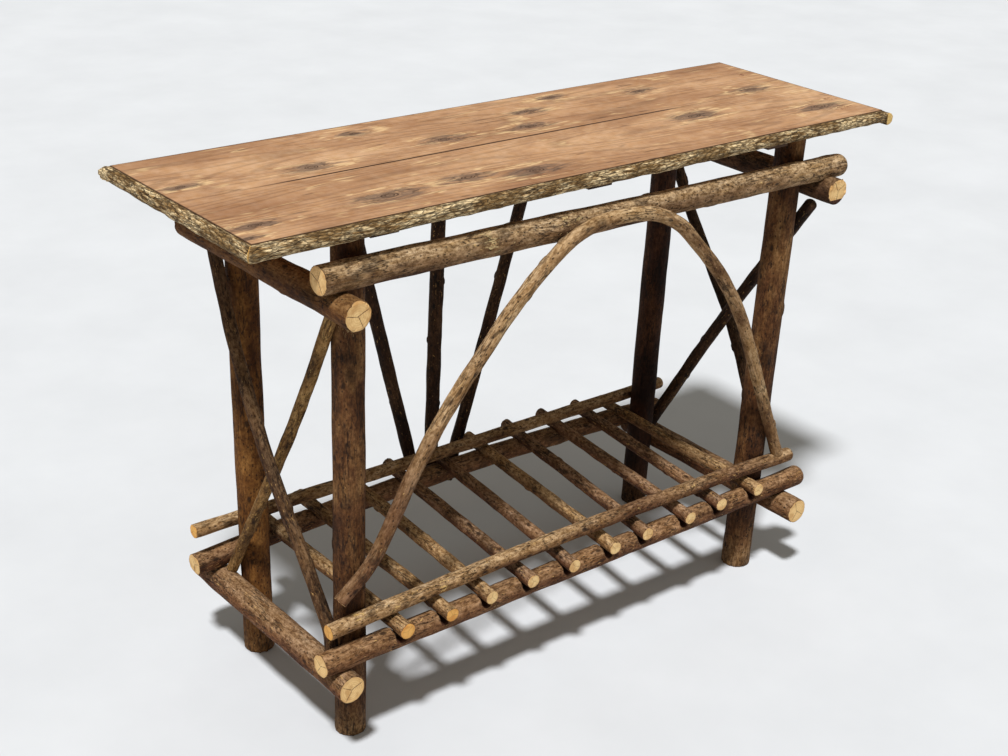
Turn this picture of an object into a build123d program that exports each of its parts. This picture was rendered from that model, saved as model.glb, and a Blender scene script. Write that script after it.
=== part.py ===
from build123d import *

import os
from math import radians, sqrt, tan

# A rustic side table of bark-on poles under a two-board pine top. The poles are scribed where they cross
# and held by square finishing nails, driven just under the bark. A shelf of ten saplings lies in notches in
# the two lower long rails, one bent sapling makes an arch across the front, and thinner sticks brace the
# ends and the back.
#
# Millimetres. X runs along the table, Y from the front to the back, Z up. The origin is on the floor under
# the middle of the top. Poles are given as (radius at the start, radius at the end) where they taper.

X_AXIS = Vector(1, 0, 0)
Y_AXIS = Vector(0, 1, 0)
UP = Vector(0, 0, 1)

# Top: two boards with an open seam, and half-round trims with mitred corners
TABLE_HEIGHT = 815
TOP_LENGTH = 1184
BOARD_WIDTH = 183
BOARD_THICKNESS = 19
SEAM_TIGHT = 0.4
SEAM_OPEN = 2.0
SEAM_OPENS = 130
SEAM_WIDEST = 330
SEAM_CLOSES = 860
TOP_WIDTH = 2 * BOARD_WIDTH + SEAM_TIGHT
TRIM_PROUD = 13
TRIM_DROPS = {"front": 0.5, "right": 3.5, "back": 2.5, "left": 0.5}
TRIM_HEIGHTS = {"front": (22, 17.5), "right": (19, 20), "back": (20, 21), "left": (20, 22)}
TRIM_ENDS = {"front": ("mitre", "butt"), "right": ("square", "mitre"), "back": ("mitre", "mitre"),
             "left": ("mitre", "mitre")}

# Posts, with the small shifts and leans of hand-set poles
END_OVERHANG = 177
SIDE_OVERHANG = 50.2
POST_SPAN_X = TOP_LENGTH - 2 * END_OVERHANG
POST_SPAN_Y = TOP_WIDTH - 2 * SIDE_OVERHANG
POST_SHIFT = {"front_left": (2, 0), "front_right": (2, -3), "back_left": (4, -4), "back_right": (6, 3)}
POST_LEAN = {"front_left": (-10, -3), "front_right": (8, -4), "back_left": (-16, 4), "back_right": (8, 0)}
POST_RADII = {"front_left": (23.4, 22.8), "front_right": (25, 24),
              "back_left": (23.8, 23.2), "back_right": (22.8, 22.2)}

# Rails across the ends, scribed round the posts
TOP_END_BELOW = 110
TOP_END_Z = TABLE_HEIGHT - TOP_END_BELOW
LOW_END_Z = 126
TOP_END_RADIUS = {"left": 21.1, "right": 21.3}
LOW_END_RADIUS = {"left": 21.8, "right": 21.7}
TOP_END_REACH = {"left": (85, 72), "right": (74, 74)}
LOW_END_REACH = {"left": (69, 82), "right": (86, 74)}
END_LET_IN = 2

# Long rails, which lie in saddles on the end rails; pairs run from left to right
TOP_FRONT_RADII = (20.5, 19)
TOP_FRONT_SADDLES = (1.5, 10)
TOP_FRONT_REACH = (31, 47)
TOP_BACK_RADII = (20.2, 19.6)
TOP_BACK_SADDLES = (4, 4)
TOP_BACK_REACH = (36, 36)
LOW_FRONT_RADIUS = 17.7
LOW_FRONT_SADDLES = (3.5, 3.5)
LOW_FRONT_REACH = (33, 54)
LOW_BACK_RADIUS = 17.5
LOW_BACK_SADDLES = (1.5, 1.5)
LOW_BACK_REACH = (43, 35)
LOW_BACK_BOW = 14
FRONT_LET_INS = (2.5, 6)
BACK_LET_INS = (2, 4)

# Shelf saplings
SLAT_COUNT = 10
SLAT_BUTT = 11.3
SLAT_TIP = 10.5
FIRST_SLAT_BUTT = 12.5
LAST_SLAT_TIP = 9
SLAT_MARGIN_LEFT = 53.5
SLAT_MARGIN_RIGHT = 42
SLAT_FRONT_WANDER = (0, -3, -7, -9, -9, -3, -11, 1, -5, 0)
SLAT_BACK_WANDER = (0, 0, 9, 7, 13, 15, 18, 20, 18, 0)
SLAT_FRONT_REACH = (31, 33, 30, 31, 34, 31, 29, 32, 30, 31)
SLAT_BACK_REACH = (50, 48, 54, 47, 15, 49, 52, 55, 53, 50)
SLOT_NARROWER = 3.3
SLOT_OVERCUT = 35
LAST_SLAT_GAP = 1.35
SLAT_BED = 0.6
BACK_NOTCH = 9

# Thin rails above the slats, on the outer faces of the posts
THIN_FRONT_RADIUS = 11.9
THIN_FRONT_DIP = 1.5
THIN_FRONT_BOW = 8.5
THIN_FRONT_REACH = (58, 72)
THIN_BACK_RADIUS = 11
THIN_BACK_REST = 1.8
THIN_BACK_TILT = 4
THIN_BACK_REACH = (87, 76)

# Bent arch across the front: (share of its span, share of its rise) of each bend, from the left foot
ARCH_RADIUS = 10.5
ARCH_BENDS = ((0.059, 0.096), (0.155, 0.478), (0.306, 0.832), (0.413, 0.998), (0.594, 0.99), (0.793, 0.646))
ARCH_CROWN_UP = 12
ARCH_LEFT_FOOT_OUT = 37
ARCH_LEFT_FOOT_UP = 40
ARCH_RIGHT_FOOT_OUT = 34
ARCH_RIGHT_FOOT_BED = 0.5
ARCH_CONTACT_Z = 290

# Sticks that fan out behind the back rails, in shares of the way between the posts from the middle, and
# how far they run on past the rails
STICK_RADIUS = {"left": 11.3, "centre": 12, "right": 10.4}
STICK_LOW = {"left": -0.07, "centre": -0.024, "right": 0.03}
STICK_HIGH = {"left": -0.25, "centre": -0.0145, "right": 0.235}
STICK_REACH = {"left": (36, 24), "centre": (33, 20), "right": (38, 26)}

# Braces that cross on the outer faces of the end posts. Each bend is (share of the way from the front
# post to the back post, share of the way from the lower rail to the top rail, share of the lift that
# clears the inner brace).
BRACE_RADIUS = {"left_outer": 9.8, "left_inner": 9, "right_outer": 9.7, "right_inner": 10.5}
BRACE_BENDS = {
    "left_outer": (
        (1.08, 0.974, -0.1),
        (0.87, 0.775, 0.5),
        (0.46, 0.5, 1.25),
        (0.14, 0.235, 0.45),
        (0, 0.1, 0),
        (-0.01, 0.03, 0),
    ),
    "left_inner": (
        (-0.06, 0.974, 0),
        (0.3, 0.625, 0),
        (1.07, 0.03, 0),
    ),
    "right_outer": (
        (1.07, 0.974, 0),
        (0.93, 0.79, 0.9),
        (0.47, 0.48, 1.25),
        (0.2, 0.28, 0.6),
        (0.04, 0.1, 0),
        (0.03, 0.03, 0),
    ),
    "right_inner": (
        (-0.12, 0.955, 0),
        (0.48, 0.5, 0),
        (1.04, 0.03, 0),
    ),
}
BRACE_NAIL_SHARES = {"left_outer": (0.89, 0.11), "left_inner": (0.91, 0.11),
                     "right_outer": (0.88, 0.11), "right_inner": (0.86, 0.08)}

# Battens under the boards
BATTEN_WIDTH = 45
BATTEN_THICKNESS = 19
BATTEN_INSET = 28.2
BATTEN_LENGTH = TOP_WIDTH - 2 * BATTEN_INSET
BATTEN_NAIL_SHARES = (-0.4, -0.16, 0.16, 0.4)

# Finishing nails, and the headed nails of the battens
FRAME_NAIL_SIDE = 3.4
SMALL_NAIL_SIDE = 2.6
TRIM_NAIL_SIDE = 1.6
HEAD_SPREAD = 2
HEAD_THICKNESS = 1.2
POST_BITE = 26
STICK_BITE = 22
SLAT_BITE = 12
TRIM_BITE = 20
BOARD_BITE = 12
TRIM_NAIL_INSET = 60
TRIM_NAIL_COUNTS = {"front": 4, "right": 2, "back": 4, "left": 2}

# Clearances
FIT = 0.2
SEAT = 0.3
ARCH_SEAT = 0.9
NAIL_FIT = 0.1
NAIL_TIP = 0.5
HEAD_GAP = 0.3
BRAD_SET = 0.5

# Geometry rules
BEND_SHARE = 0.45
HALVINGS = 40
LEVEL_SPARE = 8

SIDES = {"left": -1, "right": 1}
ROWS = {"front": -1, "back": 1}
POST_HEIGHT = TABLE_HEIGHT - BOARD_THICKNESS


class Log:
    """A round pole along a straight or a bent path, with both ends cut square."""

    def __init__(self, path, butt, tip=None):
        self.path = path
        self.butt = butt
        self.tip = butt if tip is None else tip

    def share(self, direction, value):
        """How far along the path, from 0 to 1, it reaches a value measured along a direction."""
        low = 0.0
        high = 1.0
        rising = (self.path @ 1 - self.path @ 0).dot(direction) > 0
        for _ in range(HALVINGS):
            middle = (low + high) / 2
            if ((self.path @ middle).dot(direction) < value) == rising:
                low = middle
            else:
                high = middle
        return low

    def centre(self, direction, value):
        return self.path @ self.share(direction, value)

    def radius(self, direction, value):
        return self.butt + (self.tip - self.butt) * self.share(direction, value)

    def solid(self, grow=0.0):
        start = Plane(origin=self.path @ 0, z_dir=self.path % 0)
        if not isinstance(self.path, Line):
            return sweep(start * Circle(self.butt + grow), path=self.path)
        length = self.path.length
        half = Polyline((0, 0, 0), (self.butt + grow, 0, 0), (self.tip + grow, 0, length), (0, 0, length),
                        close=True)
        return start * revolve(make_face(half), Axis.Z)


def reaching(first, second, before, after):
    """A straight path through two points that runs on past each of them."""
    direction = (second - first).normalized()
    return Line(first - direction * before, second + direction * after)


def bowed(first, second, before, after, rise):
    """As reaching, but arched up between the two points, and so lower past them."""
    direction = (second - first).normalized()
    half = (second - first).length / 2
    start = first - direction * before - UP * rise * (((half + before) / half) ** 2 - 1)
    end = second + direction * after - UP * rise * (((half + after) / half) ** 2 - 1)
    return ThreePointArc(start, (first + second) / 2 + UP * rise, end)


def bent(corners):
    """Straight runs joined by tangent arcs, each as large as its two runs allow."""
    radii = []
    for before, corner, after in zip(corners, corners[1:], corners[2:]):
        turn = (corner - before).get_angle(after - corner)
        shorter = min((corner - before).length, (after - corner).length)
        radii.append(BEND_SHARE * shorter / tan(radians(turn / 2)))
    return FilletPolyline(*corners, radius=radii)


def levelled(log):
    """The log with both ends cut level instead of square to its lean."""
    foot = log.path @ 0
    head = log.path @ 1
    direction = (head - foot).normalized()
    longer = Log(Line(foot - direction * LEVEL_SPARE, head + direction * LEVEL_SPARE), log.butt, log.tip)
    standing = split(longer.solid(), bisect_by=Plane(foot), keep=Keep.TOP)
    return split(standing, bisect_by=Plane(head), keep=Keep.BOTTOM)


# ---- The poles' lines and radii ----

def post_log(row, side):
    name = f"{row}_{side}"
    shift = POST_SHIFT[name]
    lean = POST_LEAN[name]
    foot = Vector(SIDES[side] * POST_SPAN_X / 2 + shift[0], ROWS[row] * POST_SPAN_Y / 2 + shift[1], 0)
    return Log(Line(foot, foot + Vector(lean[0], lean[1], POST_HEIGHT)), *POST_RADII[name])


def end_rail_log(side, z, radius, reach):
    """A rail against the outer faces of one pair of posts."""
    seats = []
    for row in ROWS:
        post = posts[row, side]
        out = post.radius(UP, z) + radius - END_LET_IN
        seats.append(post.centre(UP, z) + X_AXIS * SIDES[side] * out)
    return Log(reaching(*seats, *reach), radius)


def long_rail_seats(row, end_rails, radii, saddles, let_ins):
    """The two points of a long rail over the end rails, against the faces of its posts."""
    seats = []
    for side, radius, saddle, let_in in zip(SIDES, radii, saddles, let_ins):
        post = posts[row, side]
        end_rail = end_rails[side]
        z = (end_rail.path @ 0).Z + end_rail.butt + radius - saddle
        y = post.centre(UP, z).Y + ROWS[row] * (post.radius(UP, z) + radius - let_in)
        seats.append(Vector(end_rail.centre(Y_AXIS, y).X, y, z))
    return seats


def slat_log(index):
    """One shelf sapling, from its slot in the front rail to its saddle in the back rail."""
    butt = FIRST_SLAT_BUTT if index == 0 else SLAT_BUTT
    tip = LAST_SLAT_TIP if index == SLAT_COUNT - 1 else SLAT_TIP
    share = index / (SLAT_COUNT - 1)
    front_y = low_front.centre(X_AXIS, 0).Y
    back_y = low_back.centre(X_AXIS, 0).Y
    rail_z = low_front.centre(X_AXIS, 0).Z
    first_x = posts["front", "left"].centre(UP, rail_z).X + SLAT_MARGIN_LEFT
    last_x = posts["front", "right"].centre(UP, rail_z).X - SLAT_MARGIN_RIGHT
    back_first_x = posts["back", "left"].centre(UP, rail_z).X + SLAT_MARGIN_LEFT
    post = posts["back", "right"]
    beside = post.centre(UP, rail_z) - X_AXIS * (post.radius(UP, rail_z) + LAST_SLAT_TIP + LAST_SLAT_GAP)
    back_last_x = beside.X + (beside.X - last_x) * (back_y - beside.Y) / (beside.Y - front_y)
    front_x = first_x + share * (last_x - first_x) + SLAT_FRONT_WANDER[index]
    back_x = back_first_x + share * (back_last_x - back_first_x) + SLAT_BACK_WANDER[index]
    over_slot = sqrt(butt ** 2 - (butt - SLOT_NARROWER) ** 2)
    front_z = low_front.centre(X_AXIS, front_x).Z + LOW_FRONT_RADIUS + over_slot - SLAT_BED
    back_z = low_back.centre(X_AXIS, back_x).Z + LOW_BACK_RADIUS + tip - BACK_NOTCH
    seats = (Vector(front_x, front_y, front_z), Vector(back_x, back_y, back_z))
    return Log(reaching(*seats, SLAT_FRONT_REACH[index], SLAT_BACK_REACH[index]), butt, tip)


def thin_rail_seats(row, radius, let_ins, heights):
    """The two points of a thin rail against the faces of its posts."""
    seats = []
    for side, let_in, z in zip(SIDES, let_ins, heights):
        post = posts[row, side]
        centre = post.centre(UP, z)
        seats.append(centre + Y_AXIS * ROWS[row] * (post.radius(UP, z) + radius - let_in))
    return seats


def arch_log():
    """The arch lies in one leaning plane, against both front posts and the top front rail."""
    touches = []
    for side in SIDES:
        post = posts["front", side]
        reach = post.radius(UP, ARCH_CONTACT_Z) + ARCH_RADIUS + ARCH_SEAT
        touches.append(post.centre(UP, ARCH_CONTACT_Z) - Y_AXIS * reach)
    rail = top_front.centre(X_AXIS, 0)
    touches.append(rail - Y_AXIS * (top_front.radius(X_AXIS, 0) + ARCH_RADIUS + ARCH_SEAT))
    left, right, crown = touches
    across = (right.Y - left.Y) / (right.X - left.X)
    lean = (crown.Y - left.Y - across * (crown.X - left.X)) / (crown.Z - left.Z)

    def in_plane(x, z):
        return Vector(x, left.Y + across * (x - left.X) + lean * (z - left.Z), z)

    thin_left = thin_front.centre(X_AXIS, left.X)
    right_x = right.X + ARCH_RIGHT_FOOT_OUT
    thin_right = thin_front.centre(X_AXIS, right_x)
    left_x = left.X - ARCH_LEFT_FOOT_OUT
    left_z = thin_left.Z + ARCH_LEFT_FOOT_UP
    right_z = thin_right.Z + THIN_FRONT_RADIUS - ARCH_RIGHT_FOOT_BED
    rise = crown.Z + ARCH_CROWN_UP - left_z
    corners = [in_plane(left_x, left_z)]
    for along, up in ARCH_BENDS:
        corners.append(in_plane(left_x + along * (right_x - left_x), left_z + up * rise))
    corners.append(in_plane(right_x, right_z))
    return Log(bent(corners), ARCH_RADIUS)


def stick_log(name):
    """One stick of the fan, against the back faces of the two back rails."""
    radius = STICK_RADIUS[name]
    low = low_back.centre(X_AXIS, STICK_LOW[name] * POST_SPAN_X)
    high = top_back.centre(X_AXIS, STICK_HIGH[name] * POST_SPAN_X)
    high_radius = top_back.radius(X_AXIS, high.X)
    seats = (low + Y_AXIS * (LOW_BACK_RADIUS + radius + SEAT), high + Y_AXIS * (high_radius + radius + SEAT))
    return Log(reaching(*seats, *STICK_REACH[name]), radius)


def brace_log(name):
    """One brace, outside the posts of its end."""
    side = name.split("_")[0]
    radius = BRACE_RADIUS[name]
    lift = 2 * BRACE_RADIUS[f"{side}_inner"] + SEAT
    corners = []
    for back, up, lifted in BRACE_BENDS[name]:
        z = LOW_END_Z + up * (TOP_END_Z - LOW_END_Z)
        faces = []
        for row in ROWS:
            post = posts[row, side]
            out = post.radius(UP, z) + radius + SEAT + lifted * lift
            faces.append(post.centre(UP, z) + X_AXIS * SIDES[side] * out)
        corners.append(faces[0] + (faces[1] - faces[0]) * back)
    return Log(bent(corners), radius)


posts = {(row, side): post_log(row, side) for row in ROWS for side in SIDES}
top_ends = {side: end_rail_log(side, TOP_END_Z, TOP_END_RADIUS[side], TOP_END_REACH[side]) for side in SIDES}
low_ends = {side: end_rail_log(side, LOW_END_Z, LOW_END_RADIUS[side], LOW_END_REACH[side]) for side in SIDES}

top_front_seats = long_rail_seats("front", top_ends, TOP_FRONT_RADII, TOP_FRONT_SADDLES, FRONT_LET_INS)
top_front = Log(reaching(*top_front_seats, *TOP_FRONT_REACH), *TOP_FRONT_RADII)
top_back_seats = long_rail_seats("back", top_ends, TOP_BACK_RADII, TOP_BACK_SADDLES, BACK_LET_INS)
top_back = Log(reaching(*top_back_seats, *TOP_BACK_REACH), *TOP_BACK_RADII)
low_front_radii = (LOW_FRONT_RADIUS, LOW_FRONT_RADIUS)
low_front_seats = long_rail_seats("front", low_ends, low_front_radii, LOW_FRONT_SADDLES, FRONT_LET_INS)
low_front = Log(reaching(*low_front_seats, *LOW_FRONT_REACH), LOW_FRONT_RADIUS)
low_back_radii = (LOW_BACK_RADIUS, LOW_BACK_RADIUS)
low_back_seats = long_rail_seats("back", low_ends, low_back_radii, LOW_BACK_SADDLES, BACK_LET_INS)
low_back = Log(bowed(*low_back_seats, *LOW_BACK_REACH, LOW_BACK_BOW), LOW_BACK_RADIUS)

slats = [slat_log(index) for index in range(SLAT_COUNT)]

middle_slat = slats[SLAT_COUNT // 2]
front_slat_top = middle_slat.path @ 0 + UP * middle_slat.butt
thin_front_z = front_slat_top.Z + THIN_FRONT_RADIUS + THIN_FRONT_DIP
thin_front_seats = thin_rail_seats("front", THIN_FRONT_RADIUS, FRONT_LET_INS, (thin_front_z, thin_front_z))
thin_front = Log(bowed(*thin_front_seats, *THIN_FRONT_REACH, THIN_FRONT_BOW), THIN_FRONT_RADIUS)
back_slat_top = middle_slat.centre(Y_AXIS, low_back_seats[0].Y) + UP * middle_slat.tip
thin_back_z = back_slat_top.Z + THIN_BACK_RADIUS + THIN_BACK_REST
thin_back_heights = (thin_back_z + THIN_BACK_TILT, thin_back_z - THIN_BACK_TILT)
thin_back_seats = thin_rail_seats("back", THIN_BACK_RADIUS, BACK_LET_INS, thin_back_heights)
thin_back = Log(reaching(*thin_back_seats, *THIN_BACK_REACH), THIN_BACK_RADIUS)

arch = arch_log()
sticks = {name: stick_log(name) for name in STICK_RADIUS}
braces = {name: brace_log(name) for name in BRACE_RADIUS}

LONG_RAILS = {
    "front": {"top_front_rail": top_front, "lower_front_rail": low_front, "thin_front_rail": thin_front},
    "back": {"top_back_rail": top_back, "lower_back_rail": low_back, "thin_back_rail": thin_back},
}

wood = {}

# ---- Boards, trims and battens ----

def board_solids():
    """Two boards; the front one's inner edge is planed hollow, which opens the seam."""
    left = -TOP_LENGTH / 2
    right = TOP_LENGTH / 2
    edge = SEAM_TIGHT / 2
    open_edge = edge - SEAM_OPEN
    front = Polyline((left, -TOP_WIDTH / 2), (right, -TOP_WIDTH / 2), (right, -edge),
                     (left + SEAM_CLOSES, -edge), (left + SEAM_WIDEST, open_edge), (left + SEAM_OPENS, -edge),
                     (left, -edge), close=True)
    back = Polyline((left, edge), (right, edge), (right, TOP_WIDTH / 2), (left, TOP_WIDTH / 2), close=True)
    under = Plane.XY.offset(POST_HEIGHT)
    return [extrude(under * make_face(outline), BOARD_THICKNESS) for outline in (front, back)]


def trim_solid(name, length):
    """A half-round strip along X behind which the board's edge lies at Y = 0."""
    sections = []
    for end, height in zip((-1, 1), TRIM_HEIGHTS[name]):
        section = make_face(Polyline((0, 0), (0, -height)) + ThreePointArc(
            (0, -height), (-TRIM_PROUD, -height / 2), (0, 0)))
        top = Vector(end * (length / 2 + TRIM_PROUD), 0, TABLE_HEIGHT - TRIM_DROPS[name])
        sections.append(Plane(origin=top, x_dir=Y_AXIS, z_dir=X_AXIS) * section)
    strip = loft(sections)
    for end, joint in zip((-1, 1), TRIM_ENDS[name]):
        corner = X_AXIS * end * length / 2
        if joint == "mitre":
            strip = split(strip, bisect_by=Plane(origin=corner, z_dir=(end, 1, 0)), keep=Keep.BOTTOM)
        elif joint == "butt":
            strip = split(strip, bisect_by=Plane(origin=corner, z_dir=(end, 0, 0)), keep=Keep.BOTTOM)
    return strip


TRIM_PLACES = {
    "front": (TOP_LENGTH, Location((0, -TOP_WIDTH / 2, 0), (0, 0, 0))),
    "right": (TOP_WIDTH, Location((TOP_LENGTH / 2, 0, 0), (0, 0, 90))),
    "back": (TOP_LENGTH, Location((0, TOP_WIDTH / 2, 0), (0, 0, 180))),
    "left": (TOP_WIDTH, Location((-TOP_LENGTH / 2, 0, 0), (0, 0, -90))),
}

wood["front_board"], wood["back_board"] = board_solids()
for name, (length, place) in TRIM_PLACES.items():
    wood[f"trim_{name}"] = place * trim_solid(name, length)

batten_z = POST_HEIGHT - BATTEN_THICKNESS / 2


def batten_x(side):
    """The middle of a batten that lies against the inner faces of one pair of posts."""
    faces = [SIDES[side] * posts[row, side].centre(UP, batten_z).X - posts[row, side].butt for row in ROWS]
    return SIDES[side] * (min(faces) - SEAT - BATTEN_WIDTH / 2)


battens = {"left": batten_x("left"), "middle": 0, "right": batten_x("right")}
for name, x in battens.items():
    wood[f"batten_{name}"] = Location((x, 0, batten_z)) * Box(BATTEN_WIDTH, BATTEN_LENGTH, BATTEN_THICKNESS)

# ---- Poles, scribed and notched where they cross ----

for (row, side), log in posts.items():
    wood[f"post_{row}_{side}"] = levelled(log)

for side in SIDES:
    around = [posts[row, side].solid(FIT) for row in ROWS]
    top_saddles = [log.solid(FIT) for log in (top_front, top_back)]
    low_saddles = [log.solid(FIT) for log in (low_front, low_back)]
    wood[f"top_end_rail_{side}"] = top_ends[side].solid() - around - top_saddles
    wood[f"lower_end_rail_{side}"] = low_ends[side].solid() - around - low_saddles

front_posts = [posts["front", side].solid(FIT) for side in SIDES]
back_posts = [posts["back", side].solid(FIT) for side in SIDES]
slat_beds = [slat.solid(FIT) for slat in slats]


def slot(slat):
    """A saw-cut slot in the lower front rail, down to its middle and narrower than the slat."""
    crossing = slat.centre(Y_AXIS, low_front.centre(X_AXIS, 0).Y)
    width = 2 * (slat.butt - SLOT_NARROWER)
    reach = LOW_FRONT_RADIUS + SLOT_OVERCUT
    cut = Box(width, 2 * reach, reach, align=(Align.CENTER, Align.CENTER, Align.MIN))
    return Location(low_front.centre(X_AXIS, crossing.X)) * cut


wood["top_front_rail"] = top_front.solid() - front_posts
wood["top_back_rail"] = top_back.solid() - back_posts
wood["lower_front_rail"] = low_front.solid() - front_posts - [slot(slat) for slat in slats] - slat_beds
wood["lower_back_rail"] = low_back.solid() - back_posts - slat_beds
wood["thin_front_rail"] = thin_front.solid() - front_posts - slat_beds - arch.solid(FIT)
wood["thin_back_rail"] = thin_back.solid() - back_posts - slat_beds
wood["front_arch"] = arch.solid()
for index, slat in enumerate(slats):
    wood[f"slat_{index + 1:02d}"] = slat.solid()
for name, stick in sticks.items():
    wood[f"back_stick_{name}"] = stick.solid()
for name, brace in braces.items():
    side = name.split("_")[0]
    rails = [top_ends[side].solid(FIT), low_ends[side].solid(FIT), low_back.solid(FIT)]
    wood[f"brace_{name}"] = brace.solid() - rails

# ---- Nails: each drills the pieces that it holds ----

nails = {}


def drive(group, pieces, surface, direction, length, side, head=False):
    """A square nail from a point on the surface, with its hole in each of the pieces."""
    low = (Align.CENTER, Align.CENTER, Align.MIN)
    start = -HEAD_GAP if head else BRAD_SET
    body = Location((0, 0, start)) * Box(side, side, length - start, align=low)
    if head:
        width = side * HEAD_SPREAD
        body += Location((0, 0, start - HEAD_THICKNESS)) * Box(width, width, HEAD_THICKNESS, align=low)
    width = side + 2 * NAIL_FIT
    bore = Location((0, 0, -width)) * Box(width, width, width + length + NAIL_TIP, align=low)
    at = Plane(origin=surface, z_dir=direction)
    nails.setdefault(group, []).append(at * body)
    for piece in pieces:
        wood[piece] -= at * bore


def drive_through(group, pieces, log, share, direction, bite, side):
    """A nail square through a pole and on into the piece behind it."""
    centre = log.path @ share
    radius = log.butt + (log.tip - log.butt) * share
    grain = log.path % share
    square = (direction - grain * grain.dot(direction)).normalized()
    drive(group, pieces, centre - square * radius, square, 2 * radius + bite, side)


for (row, side), post in posts.items():
    inward_x = X_AXIS * -SIDES[side]
    inward_y = Y_AXIS * -ROWS[row]
    name = f"post_{row}_{side}"
    for level, ends in (("top", top_ends), ("lower", low_ends)):
        rail = ends[side]
        share = rail.share(Y_AXIS, post.centre(UP, (rail.path @ 0).Z).Y)
        drive_through("frame_nails", [f"{level}_end_rail_{side}", name], rail, share, inward_x, POST_BITE,
                      FRAME_NAIL_SIDE)
    for rail_name, rail in LONG_RAILS[row].items():
        share = rail.share(X_AXIS, post.centre(UP, (rail.path @ 0.5).Z).X)
        group, nail_side = ("frame_nails", FRAME_NAIL_SIDE)
        if rail_name.startswith("thin"):
            group, nail_side = ("thin_rail_nails", SMALL_NAIL_SIDE)
        drive_through(group, [rail_name, name], rail, share, inward_y, POST_BITE, nail_side)

for index, slat in enumerate(slats):
    name = f"slat_{index + 1:02d}"
    share = slat.share(Y_AXIS, low_front.centre(X_AXIS, 0).Y)
    front = slat.path @ share
    to_floor = front.Z - slat.butt - low_front.centre(X_AXIS, front.X).Z
    drive_through("slat_nails", [name, "lower_front_rail"], slat, share, UP * -1, to_floor + SLAT_BITE,
                  SMALL_NAIL_SIDE)
    share = slat.share(Y_AXIS, low_back.centre(X_AXIS, 0).Y)
    drive_through("slat_nails", [name, "lower_back_rail"], slat, share, UP * -1, SLAT_BITE, SMALL_NAIL_SIDE)

for name, stick in sticks.items():
    for rail_name, rail, across in (("lower_back_rail", low_back, STICK_LOW[name]),
                                    ("top_back_rail", top_back, STICK_HIGH[name])):
        share = stick.share(UP, rail.centre(X_AXIS, across * POST_SPAN_X).Z)
        drive_through("stick_nails", [f"back_stick_{name}", rail_name], stick, share, Y_AXIS * -1, STICK_BITE,
                      SMALL_NAIL_SIDE)

for name, brace in braces.items():
    side, place = name.split("_")
    rows = ("back", "front") if place == "outer" else ("front", "back")
    for row, height in zip(rows, BRACE_NAIL_SHARES[name]):
        share = brace.share(UP, LOW_END_Z + height * (TOP_END_Z - LOW_END_Z))
        drive_through("brace_nails", [f"brace_{name}", f"post_{row}_{side}"], brace, share,
                      X_AXIS * -SIDES[side], STICK_BITE, SMALL_NAIL_SIDE)

for side in SIDES:
    share = arch.share(X_AXIS, posts["front", side].centre(UP, ARCH_CONTACT_Z).X)
    drive_through("arch_nails", ["front_arch", f"post_front_{side}"], arch, share, Y_AXIS, STICK_BITE,
                  SMALL_NAIL_SIDE)
drive_through("arch_nails", ["front_arch", "top_front_rail"], arch, arch.share(X_AXIS, 0), Y_AXIS, STICK_BITE,
              SMALL_NAIL_SIDE)

for name, x in battens.items():
    for share in BATTEN_NAIL_SHARES:
        board = "front_board" if share < 0 else "back_board"
        under = Vector(x, share * BATTEN_LENGTH, POST_HEIGHT - BATTEN_THICKNESS)
        drive("batten_nails", [f"batten_{name}", board], under, UP, BATTEN_THICKNESS + BOARD_BITE,
              SMALL_NAIL_SIDE, head=True)
    if name in SIDES:
        for row in ROWS:
            post = posts[row, name].centre(UP, batten_z)
            inner_face = Vector(x - SIDES[name] * BATTEN_WIDTH / 2, post.Y, batten_z)
            drive("batten_nails", [f"batten_{name}", f"post_{row}_{name}"], inner_face, X_AXIS * SIDES[name],
                  BATTEN_WIDTH + POST_BITE, SMALL_NAIL_SIDE, head=True)

for name, (length, place) in TRIM_PLACES.items():
    count = TRIM_NAIL_COUNTS[name]
    inward = (place * Location((0, 1, 0))).position - place.position
    for index in range(count):
        x = (index / (count - 1) - 0.5) * (length - 2 * TRIM_NAIL_INSET)
        z = TABLE_HEIGHT - BOARD_THICKNESS / 2
        surface = (place * Location((x, -TRIM_PROUD, z))).position
        boards = {"front": ["front_board"], "back": ["back_board"]}.get(name)
        if boards is None:
            boards = ["front_board" if surface.Y < 0 else "back_board"]
        drive("trim_nails", [f"trim_{name}", *boards], surface, inward, TRIM_PROUD + TRIM_BITE,
              TRIM_NAIL_SIDE)

# ---- Files ----

os.makedirs("parts", exist_ok=True)
for name, piece in wood.items():
    export_step(piece, f"parts/{name}.step")
for name, group in nails.items():
    export_step(Compound(children=group), f"parts/{name}.step")
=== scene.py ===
import random
from math import pi, radians

import bmesh
import bpy
import numpy as np
from mathutils import Matrix, Vector, noise


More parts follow.
